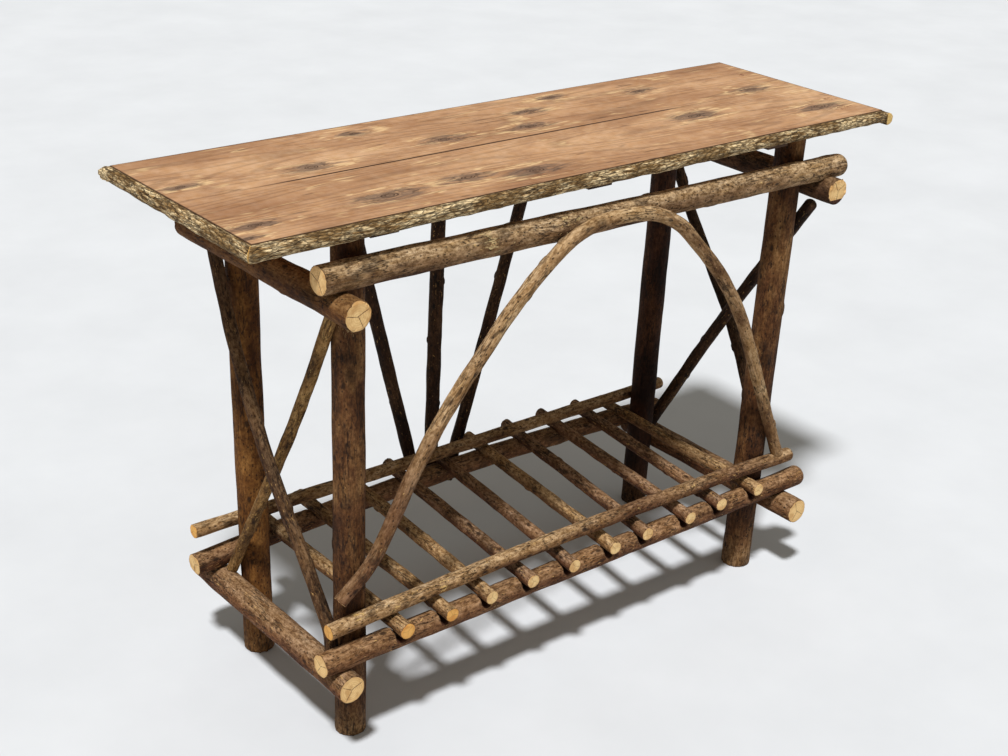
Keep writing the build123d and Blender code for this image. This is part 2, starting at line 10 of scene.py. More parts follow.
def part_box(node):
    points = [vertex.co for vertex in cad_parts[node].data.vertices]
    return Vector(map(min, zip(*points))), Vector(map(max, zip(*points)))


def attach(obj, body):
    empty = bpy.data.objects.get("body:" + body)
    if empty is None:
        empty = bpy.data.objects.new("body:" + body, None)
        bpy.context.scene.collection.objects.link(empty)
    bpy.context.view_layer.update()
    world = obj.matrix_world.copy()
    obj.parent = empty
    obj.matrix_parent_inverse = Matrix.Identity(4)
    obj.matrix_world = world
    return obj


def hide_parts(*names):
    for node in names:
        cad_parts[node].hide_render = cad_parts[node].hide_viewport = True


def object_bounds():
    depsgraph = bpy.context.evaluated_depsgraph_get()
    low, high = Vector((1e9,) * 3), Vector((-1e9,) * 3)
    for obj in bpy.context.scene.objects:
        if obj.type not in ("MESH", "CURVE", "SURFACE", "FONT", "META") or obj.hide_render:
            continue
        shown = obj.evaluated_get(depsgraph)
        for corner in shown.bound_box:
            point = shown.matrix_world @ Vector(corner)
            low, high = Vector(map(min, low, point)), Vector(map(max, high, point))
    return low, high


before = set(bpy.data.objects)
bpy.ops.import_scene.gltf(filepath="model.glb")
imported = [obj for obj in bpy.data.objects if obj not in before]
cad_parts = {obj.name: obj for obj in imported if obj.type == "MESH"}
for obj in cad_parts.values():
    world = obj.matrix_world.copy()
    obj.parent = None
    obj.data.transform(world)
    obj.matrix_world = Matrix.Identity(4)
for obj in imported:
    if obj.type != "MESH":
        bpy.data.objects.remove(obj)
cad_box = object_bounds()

# The looks of the rustic hickory table. Each pole and trim of the CAD frame is turned into an even net of
# small faces, which gets bark lumps and branch knots, and coordinates across and along the pole for its
# bark and end grain. The boards, battens and nails keep their CAD meshes. Metres, in the frame's own axes.

MM = 0.001


def rgb(red, green, blue):
    """A colour for a shader, from the usual 0 to 255, by the sRGB curve."""
    linear = [((c / 255 + 0.055) / 1.055) ** 2.4 if c > 10 else c / 255 / 12.92 for c in (red, green, blue)]
    return (*linear, 1.0)


# ---- Camera, light and floor ----

CAMERA_PLACE = (-1.510, -1.743, 1.478)
CAMERA_HEADING = radians(-40.29)
CAMERA_DIP = radians(24.75)
CAMERA_ROLL = radians(2.71)
CAMERA_LENS = 56.86
KEY_FROM = (-0.40, -0.32, 1.0)
KEY_SPREAD = radians(6)
KEY_POWER = 3.75
FILL_FROM = (0.7, -0.8, 0.6)
FILL_SPREAD = radians(60)
FILL_POWER = 0.09
SKY_STRENGTH = 0.27
SKY_COLOUR = rgb(248, 242, 228)
FLOOR_SIZE = 30.0
FLOOR_DARKER = rgb(206, 209, 213)
FLOOR_LIGHTER = rgb(213, 216, 220)

# ---- Mesh of the poles ----

# The net, whose voxels are a share of the pole's radius, within limits
WELD = 0.01 * MM
NET_SHARE = 0.17
NET_LARGEST = 3.2 * MM
NET_SMALLEST = 1.7 * MM

# The walk along the middle line, and the percentile of distances from it where the pole's surface begins
SLICE = 8 * MM
FIRST_LOOK = 130 * MM
CIRCLE_SLACK = 1.2 * MM
CIRCLE_TRIES = 2
FEWEST_POINTS = 12
TRACKED_WIDTH = 1.8
LOOK_BACK = 3
SMOOTHINGS = 3
SKEW = (0.3, 0.5, 0.8)
SURFACE_FROM = 55

# Ends, notches and bark: how squarely a face has to look along the pole to be an end, shares of the radius
# below which a face is cut and above which bark grows, and how flat the bark lies near an end
END_FACING = 0.7
END_DEPTH = 3 * MM
CUT_BELOW = 0.85
BARK_FROM = 0.86
BARK_FULL = 0.96
WORN_END = 0.65
EVEN_END = 0.3
EVEN_FOR = 9 * MM

# How high up the feet are dusted, with the same paler layer that upward faces get as painted top light
FOOT_DUST = 45 * MM

# Side knots: how their widths and heights vary, and how much longer they are along the pole. The dimple has
# a share of a knot's height, and TIGHTER is how many times narrower than the knot a dimple or dark heart is
KNOT_WIDTHS = (0.6, 1.3)
KNOT_HEIGHTS = (0.5, 1.4)
KNOT_STRETCH = 1.25
DIMPLE_DEPTH = 0.25
DIMPLE_TIGHTER = 2.2
HEART_TIGHTER = 1.8
RING_STRENGTH = 0.6
RING_WIDTH = 0.3

# Trims: the net, how far from the boards the bark reaches its full height, and how squarely an end faces
TRIM_NET = 2.0 * MM
TRIM_FLAT = 5 * MM
TRIM_END_FACING = 0.5

# Radii in metres; bark shapes with heights and widths in millimetres, and knots per metre
POLE_RADII = {"post": 24 * MM, "rail": 19 * MM, "sapling": 11 * MM, "stick": 10 * MM}
SHAPES = {
    "post": {"lump": 1.1, "lump_size": 46, "ridge": 0.4, "ridge_size": 9, "knots": 4, "knot": (1.5, 9)},
    "rail": {"lump": 1.3, "lump_size": 34, "ridge": 0.4, "ridge_size": 8, "knots": 8, "knot": (1.6, 7)},
    "sapling": {"lump": 0.9, "lump_size": 24, "ridge": 0.3, "ridge_size": 6, "knots": 10, "knot": (1.5, 4.5)},
    "stick": {"lump": 0.9, "lump_size": 26, "ridge": 0.3, "ridge_size": 6, "knots": 9, "knot": (1.6, 4.5)},
    "trim": {"lump": 1.2, "lump_size": 17, "ridge": 0.8, "ridge_size": 5},
}

# How much slower the lumps and the ridges change along the wood than across it
POLE_STRETCH = (0.6, 0.3)
TRIM_STRETCH = (0.7, 0.28)

# How far the bark's shape and the grain are shifted at random, so that no two pieces look alike
NOISE_SHIFT = 90
SEED_SHIFT = 3.7


# ---- Shaders ----

# The shares of a dot and of a crease that are at full strength, and the red, green and blue of a shade
DOT_CORE = 0.45
CREASE_CORE = 0.2
SHADE_TINT = (1, 0.9, 0.74)
# How far the edges of bark scales waver, in scale widths
SCALE_WAVER = 1.1


class Surface:
    """A material built one node at a time. Arguments may be numbers, colours or sockets."""

    def __init__(self, name, gloss=0.5):
        self.material = bpy.data.materials.new(name)
        self.material.use_nodes = True
        self.tree = self.material.node_tree
        self.tree.nodes.clear()
        self.shader = self.tree.nodes.new("ShaderNodeBsdfPrincipled")
        self.shader.inputs["Specular IOR Level"].default_value = gloss
        output = self.tree.nodes.new("ShaderNodeOutputMaterial")
        self.tree.links.new(self.shader.outputs["BSDF"], output.inputs["Surface"])

    def put(self, value, socket):
        if isinstance(value, bpy.types.NodeSocket):
            self.tree.links.new(value, socket)
        else:
            socket.default_value = value

    def attribute(self, name, output="Fac"):
        node = self.tree.nodes.new("ShaderNodeAttribute")
        node.attribute_name = name
        return node.outputs[output]

    def place(self):
        return self.tree.nodes.new("ShaderNodeTexCoord").outputs["Object"]

    def math(self, operation, first, second=0.0):
        node = self.tree.nodes.new("ShaderNodeMath")
        node.operation = operation
        self.put(first, node.inputs[0])
        self.put(second, node.inputs[1])
        return node.outputs[0]

    def total(self, *terms):
        """The sum of sockets, each times its share."""
        result = 0.0
        for socket, share in terms:
            result = self.math("ADD", result, self.product(socket, share))
        return result

    def product(self, first, *others):
        for other in others:
            first = self.math("MULTIPLY", first, other)
        return first

    def largest(self, first, *others):
        for other in others:
            first = self.math("MAXIMUM", first, other)
        return first

    def vector(self, operation, first, second):
        node = self.tree.nodes.new("ShaderNodeVectorMath")
        node.operation = operation
        self.put(first, node.inputs[0])
        self.put(second, node.inputs[1])
        return node.outputs["Value" if operation == "DOT_PRODUCT" else "Vector"]

    def parts(self, vector):
        node = self.tree.nodes.new("ShaderNodeSeparateXYZ")
        self.put(vector, node.inputs[0])
        return node.outputs[0], node.outputs[1], node.outputs[2]

    def joined(self, x, y, z=0.0):
        node = self.tree.nodes.new("ShaderNodeCombineXYZ")
        for value, socket in zip((x, y, z), node.inputs):
            self.put(value, socket)
        return node.outputs[0]

    def bell(self, offset, half_x, half_y, sharpness=1.0):
        """1 at the middle of an oval spot, falling smoothly to 0 outside it."""
        scaled = self.vector("MULTIPLY", offset, (1 / half_x, 1 / half_y, 0))
        squared = self.vector("DOT_PRODUCT", scaled, scaled)
        return self.math("EXPONENT", self.product(squared, -sharpness))

    def step(self, value, low, high, start=0.0, end=1.0):
        """A smooth rise from start to end as the value goes from low to high."""
        node = self.tree.nodes.new("ShaderNodeMapRange")
        node.interpolation_type = "SMOOTHSTEP"
        for socket, number in zip(node.inputs, (value, low, high, start, end)):
            self.put(number, socket)
        return node.outputs["Result"]

    def noise(self, place, scale, detail=3.0, rough=0.55, distortion=0.0):
        node = self.tree.nodes.new("ShaderNodeTexNoise")
        self.put(place, node.inputs["Vector"])
        node.inputs["Scale"].default_value = scale
        node.inputs["Detail"].default_value = detail
        node.inputs["Roughness"].default_value = rough
        node.inputs["Distortion"].default_value = distortion
        return node.outputs["Fac"]

    def noises(self, stretched, table):
        """One noise for each row of a table: its stretch along the wood, scale, detail, roughness and
        distortion. stretched gives the place for a stretch."""
        return [self.noise(stretched(share), *rest) for share, *rest in table.values()]

    def along_pole(self, share):
        """The place on a pole with its third coordinate squeezed, which draws patterns out along the pole."""
        return self.vector("MULTIPLY", self.attribute("grain", "Vector"), (1, 1, share))

    def spots(self, place, scale, size, chosen):
        """Scattered dots: a share of the cells of a random pattern has a dot of a size in cell widths."""
        node = self.tree.nodes.new("ShaderNodeTexVoronoi")
        self.put(place, node.inputs["Vector"])
        node.inputs["Scale"].default_value = scale
        dice = self.parts(node.outputs["Color"])[0]
        dot = self.step(node.outputs["Distance"], size, size * DOT_CORE)
        return self.product(dot, self.step(dice, 1 - chosen, 1.01 - chosen))

    def creases(self, place, scale, width, detail=2.0):
        """Thin wavering lines, where a noise crosses its middle value."""
        level = self.math("ABSOLUTE", self.math("SUBTRACT", self.noise(place, scale, detail, 0.5), 0.5))
        return self.step(level, width, width * CREASE_CORE)

    def network(self, place, scale, width):
        """The cracks between small scales of bark, with wavering edges."""
        waver = self.product(self.noise(place, scale, detail=3, rough=0.6), SCALE_WAVER / scale)
        node = self.tree.nodes.new("ShaderNodeTexVoronoi")
        node.feature = "DISTANCE_TO_EDGE"
        self.put(self.vector("ADD", place, waver), node.inputs["Vector"])
        node.inputs["Scale"].default_value = scale
        return self.step(node.outputs["Distance"], width, width * CREASE_CORE)

    def ramp(self, value, *stops):
        node = self.tree.nodes.new("ShaderNodeValToRGB")
        self.put(value, node.inputs["Fac"])
        elements = node.color_ramp.elements
        while len(elements) < len(stops):
            elements.new(1.0)
        for element, (position, colour) in zip(elements, stops):
            element.position = position
            element.color = colour
        return node.outputs["Color"]

    def mix(self, share, first, second, blend="MIX"):
        node = self.tree.nodes.new("ShaderNodeMix")
        node.data_type = "RGBA"
        node.blend_type = blend
        self.put(share, node.inputs[0])
        self.put(first, node.inputs[6])
        self.put(second, node.inputs[7])
        return node.outputs[2]

    def laid(self, colour, over, *shares):
        """A colour with another laid over it, as strongly as the product of the shares."""
        return self.mix(self.product(*shares), colour, over)

    def shaded(self, colour, value, low, high, dark, light):
        """A colour times a shade, which goes from a warm dark to light as the value goes from low to high."""
        warm_dark = [dark * share for share in SHADE_TINT]
        shade = self.ramp(value, (low, (*warm_dark, 1)), (high, (light, light, light, 1)))
        return self.mix(1.0, colour, shade, "MULTIPLY")

    def finish(self, colour, roughness, height, depth):
        """Joins the colour, roughness and bump, whose height of 1 is as deep as depth."""
        bump = self.tree.nodes.new("ShaderNodeBump")
        bump.inputs["Distance"].default_value = depth
        self.put(height, bump.inputs["Height"])
        self.put(colour, self.shader.inputs["Base Color"])
        self.put(roughness, self.shader.inputs["Roughness"])
        self.put(bump.outputs["Normal"], self.shader.inputs["Normal"])
        return self.material


# Gloss of bark, sawn wood and oiled wood
BARK_GLOSS = 0.2
WOOD_GLOSS = 0.25
OIL_GLOSS = 0.3

RED_BARK = rgb(88, 53, 34)
GOLD_BARK = rgb(226, 176, 100)

# Noises by name, as rows for Surface.noises
BARK_NOISES = {
    "blotch": (0.35, 26, 5, 0.62),
    "mottle": (0.62, 210, 6, 0.78),
    "patch": (0.4, 75, 4, 0.6),
    "fibre": (0.1, 420, 4, 0.65),
    "zone": (0.6, 34, 2, 0.5),
    "chip": (0.3, 300, 3, 0.7, 0.5),
    "rubbed": (0.33, 150, 5, 0.75, 0.6),
}
TRIM_NOISES = {
    "blotch": (0.4, 38, 4, 0.6),
    "ridge": (0.16, 230, 5, 0.68, 0.3),
    "mottle": (0.3, 340, 5, 0.7),
}
PINE_NOISES = {
    "field": (0.08, 6.5, 2, 0.4),
    "fine": (0.025, 650, 3, 0.6),
    "broad": (0.3, 8, 3, 0.5),
    "wisp": (0.16, 105, 5, 0.72, 1.4),
    "flame": (0.09, 48, 4, 0.65, 0.5),
}


def bark(name, deep, dark, middle, light, top_light_and_dust, scrape, scrapes, top_light_and_dust_share, mottled=0.52, flaked=0.72):
    """Thin bark: blotches, lengthwise fibres and creases, dark pores, a paler upper side that is partly
    dusted and partly painted top light, and scrapes and golden chips where a noise passes the levels scrapes
    and flaked."""
    s = Surface(name, BARK_GLOSS)
    blotch, mottle, patch, fibre, zone, chip, rubbed = s.noises(s.along_pole, BARK_NOISES)
    warm = s.attribute("warm")
    worn = s.attribute("worn")
    crease = s.product(s.creases(s.along_pole(0.16), scale=150, width=0.04), s.step(zone, 0.42, 0.56), 0.7)
    pore = s.spots(s.along_pole(0.6), scale=250, size=0.38, chosen=0.3)
    scar = s.product(s.spots(s.along_pole(0.5), scale=70, size=0.26, chosen=0.3), s.step(mottle, 0.38, 0.5))
    flake = s.step(s.total((chip, 1.0), (zone, 0.16), (worn, 0.06)), flaked, flaked + 0.03)
    pale = s.step(s.total((rubbed, 1.0), (worn, 0.15), (zone, 0.12)), scrapes, scrapes + 0.05)
    # Painted light: faces that look up take the paler top colour, which stands both for settled dirt and for
    # light from above; at the feet it is dusting
    upward = s.product(s.step(s.attribute("up"), -0.1, 0.95), s.step(mottle, 0.25, 0.6), top_light_and_dust_share)
    knotted = s.product(s.attribute("knotted"), s.step(mottle, 0.25, 0.5))

    colour = s.ramp(blotch, (0.36, dark), (0.5, middle), (0.66, light))
    colour = s.laid(colour, RED_BARK, warm, 0.85)
    colour = s.laid(colour, top_light_and_dust, upward, s.step(warm, 0.0, 1.0, start=1.0, end=0.3))
    colour = s.shaded(colour, mottle, 0.4, 0.6, dark=mottled, light=1.3)
    colour = s.shaded(colour, patch, 0.36, 0.62, dark=0.74, light=1.1)
    colour = s.shaded(colour, fibre, 0.36, 0.6, dark=0.82, light=1.06)
    colour = s.laid(colour, scrape, pale, 0.8)
    colour = s.laid(colour, s.mix(0.5, scrape, GOLD_BARK), flake, 0.7)
    colour = s.laid(colour, deep, crease)
    colour = s.laid(colour, deep, s.largest(pore, scar, knotted), 0.8)
    height = s.total((blotch, 0.5), (mottle, 0.9), (fibre, 0.35), (crease, -0.4), (pore, -0.2), (scar, 0.4),
                     (pale, -0.12), (flake, 0.3))
    return s.finish(colour, s.step(fibre, 0.2, 0.8, start=0.92, end=0.78), height, depth=1.9 * MM)


def trim_bark(name, deep, dark, middle, light, moss):
    """Rough, knobbly bark with lengthwise ridges, pale crests and dark hollows."""
    s = Surface(name, BARK_GLOSS)
    blotch, ridge, mottle = s.noises(s.along_pole, TRIM_NOISES)
    fissure = s.product(s.creases(s.along_pole(0.13), scale=170, width=0.05), s.step(blotch, 0.35, 0.55))
    pit = s.spots(s.along_pole(0.4), scale=190, size=0.34, chosen=0.35)
    cracks = s.network(s.along_pole(0.3), scale=230, width=0.13)
    cracks = s.product(cracks, s.step(mottle, 0.3, 0.55, start=0.35))
    crest = s.total((ridge, 0.6), (mottle, 0.2), (blotch, 0.35))

    colour = s.ramp(crest, (0.42, dark), (0.54, middle), (0.64, light))
    colour = s.laid(colour, moss, s.step(blotch, 0.54, 0.42, end=0.6))
    colour = s.shaded(colour, mottle, 0.36, 0.6, dark=0.56, light=1.22)
    colour = s.laid(colour, deep, fissure, 0.75)
    colour = s.laid(colour, deep, pit, 0.7)
    colour = s.laid(colour, deep, cracks, 0.62)
    height = s.total((ridge, 1.1), (mottle, 0.5), (cracks, -0.6), (fissure, -0.5), (pit, -0.3))
    return s.finish(colour, s.step(ridge, 0.2, 0.8, start=0.92, end=0.8), height, depth=2.0 * MM)


# The drying cracks of a sawn end: how far each leans, and to which side of the pith it runs
END_CRACKS = ((0.0, 1.0), (1.4, -1.0), (-0.7, -1.0))


def end_grain(name, pale, ring, stain, rim, crack, cracked=0.95):
    """A sawn pole end: faint rings round a small pith, drying cracks, saw lines and a thin edge of bark."""
    s = Surface(name, WOOD_GLOSS)
    x, y, along = s.parts(s.attribute("grain", "Vector"))
    away = s.attribute("rim")
    wobble = s.noise(s.joined(x, y), scale=60, detail=2)
    saw = s.noise(s.joined(s.product(x, 0.15), y), scale=900, detail=2)
    cloudy = s.noise(s.joined(x, y, along), scale=75, detail=4, rough=0.6)
    rings = s.math("SINE", s.total((away, 40.0), (wobble, 10.0)))

    colour = s.laid(pale, ring, s.step(rings, -0.2, 1.0, end=0.4))
    colour = s.laid(colour, stain, s.step(cloudy, 0.42, 0.68, end=0.75))
    colour = s.laid(colour, ring, s.step(saw, 0.45, 0.7, end=0.3))
    colour = s.laid(colour, stain, s.step(away, 0.55, 0.95, end=0.35))
    colour = s.laid(colour, rim, s.step(away, 0.91, 0.96))

    # The pith and the cracks, broken up by the cloudy noise
    bend = s.product(s.math("SUBTRACT", wobble, 0.5), 6 * MM)
    dark = s.step(away, 0.1, 0.04)
    for lean, side in END_CRACKS:
        line = s.math("ABSOLUTE", s.total((x, 1.0), (y, lean), (bend, 1.0)))
        arm = s.step(s.product(y, side), -1 * MM, 2 * MM)
        dark = s.largest(dark, s.product(s.step(line, 0.9 * MM, 0.3 * MM), arm))
    broken = s.step(cloudy, 0.3, 0.5, start=cracked * 0.35, end=cracked)
    dark = s.product(dark, s.step(away, 0.95, 0.7), broken)
    colour = s.laid(colour, crack, dark)
    height = s.total((rings, 0.12), (saw, 0.6), (dark, -0.9))
    return s.finish(colour, 0.8, height, depth=0.6 * MM)


def cut_wood(name, dark, light):
    """The saw-cut or scribed side of a notch, or a mitred trim."""
    s = Surface(name, WOOD_GLOSS)
    fibre = s.noise(s.along_pole(0.2), scale=380, detail=3)
    return s.finish(s.ramp(fibre, (0.35, dark), (0.7, light)), 0.85, fibre, depth=0.5 * MM)


# Knots of the top as (x m, y m, half-width mm)
TOP_KNOTS = (
    (-0.365, 0.036, 9), (-0.558, 0.052, 6), (-0.344, -0.119, 12), (-0.553, -0.127, 8), (-0.208, -0.112, 10),
    (-0.107, -0.137, 11), (0.082, 0.105, 8), (0.030, 0.038, 9), (-0.127, 0.050, 9), (-0.222, 0.143, 7),
    (-0.583, -0.163, 5), (0.168, 0.152, 7), (0.319, 0.109, 8), (0.293, -0.050, 11), (0.501, 0.020, 8),
    (0.517, -0.114, 11),
)
# Scuffs near the top's right end as (x m, y m, half-length mm)
TOP_SCUFFS = ((0.545, -0.135, 34), (0.57, -0.09, 22), (0.56, 0.1, 20))
# How strongly the grain bends round a knot
GRAIN_BEND = 0.8
# Where the seam between the boards is dark, in x, and how far it takes to darken and to fade
SEAM_DARK_FROM = -0.50
SEAM_DARK_TO = 0.27
SEAM_DARKENS = 0.1
SEAM_FADES = 0.06
# Half the length and width of the top without its trims
TOP_HALVES = (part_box("front_board")[1].x, -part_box("front_board")[0].y)
# How near the seam and the edges of the top the painted shade begins, and how near it is full
SEAM_SHADE_AND_DIRT = (3.0 * MM, 1.3 * MM)
EDGE_SHADE = (2.2 * MM, 0.8 * MM)


def pine(name, knots, scuffs, deep, dark, middle, light, flare, smudge, red, seam=False):
    """Oiled pine: grain that flows round its knots, grey-brown smudges, pale flames, a seam with dirt and
    painted shade, and painted shade at the edges.
    """
    s = Surface(name, OIL_GLOSS)
    place = s.place()
    x, y = s.parts(place)[:2]
    bent = y
    core = 0.0
    cloud = 0.0
    for knot_x, knot_y, size in knots:
        reach = size * MM
        offset = s.vector("SUBTRACT", place, (knot_x, knot_y, 0))
        around = s.bell(offset, half_x=reach * 3.4, half_y=reach * 1.6)
        bent = s.math("SUBTRACT", bent, s.product(around, GRAIN_BEND, s.parts(offset)[1]))
        core = s.largest(core, s.bell(offset, half_x=reach * 1.5, half_y=reach * 0.75, sharpness=1.4))
        cloud = s.largest(cloud, s.bell(offset, half_x=reach * 5.0, half_y=reach * 1.9))

    def along_grain(share):
        return s.joined(s.product(x, share), bent)

    field, fine, broad, wisp, flame = s.noises(along_grain, PINE_NOISES)
    rings = s.math("SINE", s.product(field, 210))
    mottle = s.noise(s.joined(s.product(x, 0.55), y), scale=16, detail=6, rough=0.68)
    broken = s.noise(place, scale=75, detail=3, rough=0.6)

    # The grain
    colour = s.ramp(broad, (0.34, dark), (0.5, middle), (0.66, light))
    colour = s.laid(colour, dark, s.step(mottle, 0.44, 0.62, end=0.6))
    colour = s.shaded(colour, broken, 0.3, 0.7, dark=0.94, light=1.06)
    colour = s.laid(colour, deep, s.step(rings, 0.35, 1.0, end=0.24))
    drawn = s.step(s.noise(place, scale=15, detail=2), 0.52, 0.64)
    thread = s.product(s.creases(along_grain(0.1), scale=34, width=0.022, detail=3.0), drawn, 0.5)
    flames = s.product(s.step(flame, 0.58, 0.68), s.step(mottle, 0.55, 0.4), 0.14)
    colour = s.laid(colour, flare, s.largest(thread, flames))
    colour = s.laid(colour, deep, s.step(fine, 0.5, 0.7, end=0.4))
    fleck = s.spots(along_grain(0.2), scale=60, size=0.16, chosen=0.22)
    colour = s.laid(colour, deep, fleck, 0.5)

    # Pale ripples and smudges round the knots, drying checks, and the knots themselves
    ripple = s.creases(along_grain(0.13), scale=44, width=0.032)
    halo = s.product(s.step(cloud, 0.0, 0.12), s.step(cloud, 0.85, 0.5), ripple, s.step(broken, 0.3, 0.5))
    colour = s.laid(colour, flare, halo, 0.6)
    haze = s.product(s.step(s.total((wisp, 1.0), (cloud, 0.2)), 0.52, 0.68), s.step(cloud, 0.05, 0.55))
    colour = s.laid(colour, smudge, haze, 0.72)
    dried = s.step(s.noise(place, scale=14, detail=2), 0.52, 0.62)
    check = s.product(s.creases(along_grain(0.04), scale=34, width=0.008), dried)
    colour = s.laid(colour, deep, check, 0.5)
    swirl = s.math("SINE", s.total((core, 20.0), (wisp, 9.0)))
    stroke = s.product(s.step(cloud, 0.15, 0.7), s.creases(along_grain(0.22), scale=120, width=0.04), 0.6)
    middles = s.product(s.step(core, 0.1, 0.45), s.step(swirl, -0.2, 0.6, start=0.1))
    heart = s.largest(stroke, middles)
    colour = s.laid(colour, deep, heart, 0.95)

    for scuff_x, scuff_y, half in scuffs:
        offset = s.vector("SUBTRACT", place, (scuff_x, scuff_y, 0))
        near = s.bell(offset, half_x=half * MM, half_y=half * 0.6 * MM)
        rough = s.noise(along_grain(0.4), scale=230, detail=4, rough=0.7)
        patch = s.step(s.total((rough, 1.0), (near, 0.22)), 0.7, 0.78)
        colour = s.laid(colour, red, patch, s.step(near, 0.1, 0.4), 0.85)
    # Painted shade: a dark line along the seam, partly dirt, strongest from SEAM_DARK_FROM to SEAM_DARK_TO,
    # and a thin line of painted shade at the edges under the trims
    if seam:
        across = s.math("ABSOLUTE", s.total((y, 1.0), (s.step(broad, 0.3, 0.7), 0.3 * MM)))
        begun = s.step(x, SEAM_DARK_FROM, SEAM_DARK_FROM + SEAM_DARKENS)
        strong = s.product(begun, s.step(x, SEAM_DARK_TO + SEAM_FADES, SEAM_DARK_TO))
        shadow = s.product(s.step(across, *SEAM_SHADE_AND_DIRT), s.total((strong, 0.75), (1.0, 0.2)))
        outer, inner = EDGE_SHADE
        edges = [s.step(s.math("ABSOLUTE", way), half - outer, half - inner)
                 for way, half in zip((x, y), TOP_HALVES)]
        colour = s.laid(colour, deep, s.largest(shadow, s.product(s.largest(*edges), 0.85)))
    height = s.total((rings, 0.12), (fine, -0.35), (heart, -0.3))
    return s.finish(colour, s.step(mottle, 0.3, 0.7, start=0.5, end=0.62), height, depth=0.35 * MM)


def rusty_iron(name):
    s = Surface(name)
    patch = s.noise(s.place(), scale=400, detail=4, rough=0.6)
    colour = s.ramp(patch, (0.35, rgb(48, 36, 28)), (0.55, rgb(74, 54, 38)), (0.7, rgb(98, 68, 44)))
    s.shader.inputs["Metallic"].default_value = 0.3
    return s.finish(colour, s.step(patch, 0.3, 0.7, start=0.6, end=0.9), patch, depth=0.3 * MM)


def pale_floor(name):
    s = Surface(name)
    haze = s.noise(s.place(), scale=3.0, detail=4, rough=0.6)
    return s.finish(s.ramp(haze, (0.3, FLOOR_DARKER), (0.7, FLOOR_LIGHTER)), 0.8, haze, depth=1 * MM)


